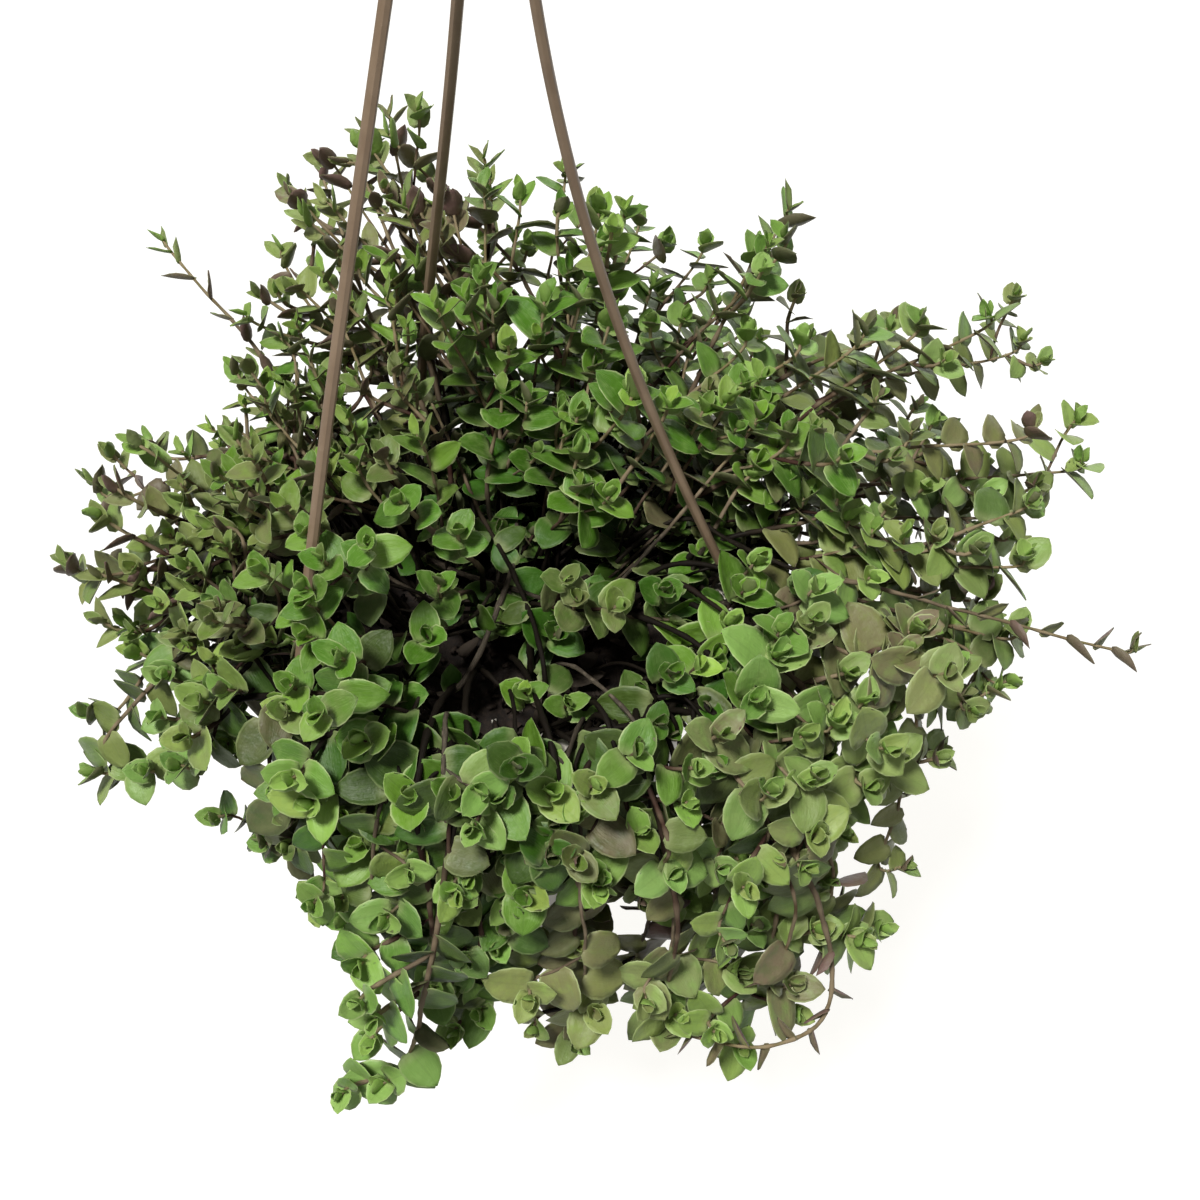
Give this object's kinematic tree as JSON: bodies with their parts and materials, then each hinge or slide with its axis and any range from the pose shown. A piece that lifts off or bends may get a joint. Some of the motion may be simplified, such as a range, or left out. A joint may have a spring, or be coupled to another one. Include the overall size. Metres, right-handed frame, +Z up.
{
  "type": "potted turtle vine in a hanging pot",
  "caption": "Trailing turtle vine in a round plastic hanging pot, with strands up to a hook that it hangs from.",
  "frame": {"origin": "the inside top of the hook, where it bears on the nail, rail or bracket that it hangs from", "axes": "+Z up, along the way it hangs; -Y towards the side that faces the viewer, +X towards the longer side of the plant"},
  "size_m": [0.3248, 0.2494, 0.4289],
  "materials": {
    "hanger": "moulded brown plastic, satin",
    "pot": "moulded off-white plastic, satin",
    "soil": null,
    "plant": null
  },
  "bodies": {
    "root": {"hook": "hanger", "pot": "pot", "shoot_back_01": "plant", "shoot_back_02": "plant", "shoot_back_03": "plant", "shoot_back_04": "plant", "shoot_back_05": "plant", "shoot_back_06": "plant", "shoot_back_07": "plant", "shoot_back_08": "plant", "shoot_back_09": "plant", "shoot_back_10": "plant", "shoot_back_11": "plant", "shoot_back_12": "plant", "shoot_back_13": "plant", "shoot_front_01": "plant", "shoot_front_02": "plant", "shoot_front_03": "plant", "shoot_front_04": "plant", "shoot_front_05": "plant", "shoot_front_06": "plant", "shoot_front_07": "plant", "shoot_front_08": "plant", "shoot_front_09": "plant", "shoot_front_10": "plant", "shoot_front_11": "plant", "shoot_left_01": "plant", "shoot_left_02": "plant", "shoot_left_03": "plant", "shoot_left_04": "plant", "shoot_left_05": "plant", "shoot_left_06": "plant", "shoot_left_07": "plant", "shoot_left_08": "plant", "shoot_left_09": "plant", "shoot_left_10": "plant", "shoot_left_11": "plant", "shoot_middle_01": "plant", "shoot_middle_02": "plant", "shoot_middle_03": "plant", "shoot_middle_04": "plant", "shoot_middle_05": "plant", "shoot_middle_06": "plant", "shoot_middle_07": "plant", "shoot_middle_08": "plant", "shoot_right_01": "plant", "shoot_right_02": "plant", "shoot_right_03": "plant", "shoot_right_04": "plant", "shoot_right_05": "plant", "shoot_right_06": "plant", "shoot_right_07": "plant", "shoot_right_08": "plant", "shoot_right_09": "plant", "shoot_right_10": "plant", "shoot_right_11": "plant", "soil": "soil", "strand_back": "hanger", "strand_left": "hanger", "strand_right": "hanger"}
  },
  "joints": []
}
